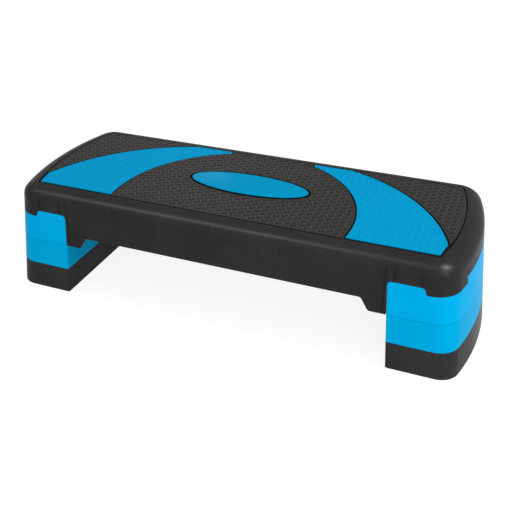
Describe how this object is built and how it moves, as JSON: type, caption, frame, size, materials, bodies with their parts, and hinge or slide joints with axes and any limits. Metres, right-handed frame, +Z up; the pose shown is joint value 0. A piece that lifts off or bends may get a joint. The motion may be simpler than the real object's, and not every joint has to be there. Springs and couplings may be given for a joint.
{
  "type": "aerobic step",
  "caption": "Long low exercise platform with a rounded rim, a bumped non-slip top and stackable end risers that lift off to change its height.",
  "frame": {"origin": "on the floor, below the middle of the platform", "axes": "+X along the platform, +Y from its front side to its back side, +Z up"},
  "size_m": [0.851, 0.32, 0.2018],
  "materials": {
    "black_plastic": "fine matt grain",
    "bright_blue_plastic": "satin",
    "blue_plastic": "satin",
    "dark_grip": "moulded hexagon bumps",
    "blue_grip": "moulded hexagon bumps",
    "blue_gloss": "smooth gloss",
    "foot_rubber": "matt",
    "screw_steel": "zinc plated"
  },
  "bodies": {
    "base_left": {"base_riser_left": "black_plastic", "base_foot_left_1": "foot_rubber", "base_foot_left_2": "foot_rubber", "base_foot_left_3": "foot_rubber", "base_foot_left_4": "foot_rubber"},
    "middle_left": {"middle_riser_left": "blue_plastic", "middle_foot_left_1": "foot_rubber", "middle_foot_left_2": "foot_rubber", "middle_foot_left_3": "foot_rubber", "middle_foot_left_4": "foot_rubber"},
    "deck": {"deck_shell": "black_plastic", "mat_field": "dark_grip", "center_oval": "blue_gloss", "grip_crescent_left": "blue_grip", "leg_left": "bright_blue_plastic", "leg_foot_left_1": "foot_rubber", "leg_screw_left_1": "screw_steel", "leg_foot_left_2": "foot_rubber", "leg_screw_left_2": "screw_steel", "leg_foot_left_3": "foot_rubber", "leg_screw_left_3": "screw_steel", "leg_foot_left_4": "foot_rubber", "leg_screw_left_4": "screw_steel", "grip_crescent_right": "blue_grip", "leg_right": "bright_blue_plastic", "leg_foot_right_1": "foot_rubber", "leg_screw_right_1": "screw_steel", "leg_foot_right_2": "foot_rubber", "leg_screw_right_2": "screw_steel", "leg_foot_right_3": "foot_rubber", "leg_screw_right_3": "screw_steel", "leg_foot_right_4": "foot_rubber", "leg_screw_right_4": "screw_steel"},
    "middle_right": {"middle_riser_right": "blue_plastic", "middle_foot_right_1": "foot_rubber", "middle_foot_right_2": "foot_rubber", "middle_foot_right_3": "foot_rubber", "middle_foot_right_4": "foot_rubber"},
    "base_right": {"base_riser_right": "black_plastic", "base_foot_right_1": "foot_rubber", "base_foot_right_2": "foot_rubber", "base_foot_right_3": "foot_rubber", "base_foot_right_4": "foot_rubber"}
  },
  "joints": [
    {"name": "middle_riser_left_lift", "type": "slide", "parent": "base_left", "child": "middle_left", "axis": [0, 0, 1], "range_m": [0, 0.06]},
    {"name": "deck_lift", "type": "slide", "parent": "middle_left", "child": "deck", "axis": [0, 0, 1], "range_m": [0, 0.06]},
    {"name": "middle_riser_right_drop", "type": "slide", "parent": "deck", "child": "middle_right", "axis": [0, 0, -1], "range_m": [0, 0.06]},
    {"name": "base_riser_right_drop", "type": "slide", "parent": "middle_right", "child": "base_right", "axis": [0, 0, -1], "range_m": [0, 0.06]}
  ],
  "couplings": [
    {"joint": "middle_riser_right_drop", "follows": "deck_lift", "ratio": 1},
    {"joint": "base_riser_right_drop", "follows": "middle_riser_left_lift", "ratio": 1}
  ]
}
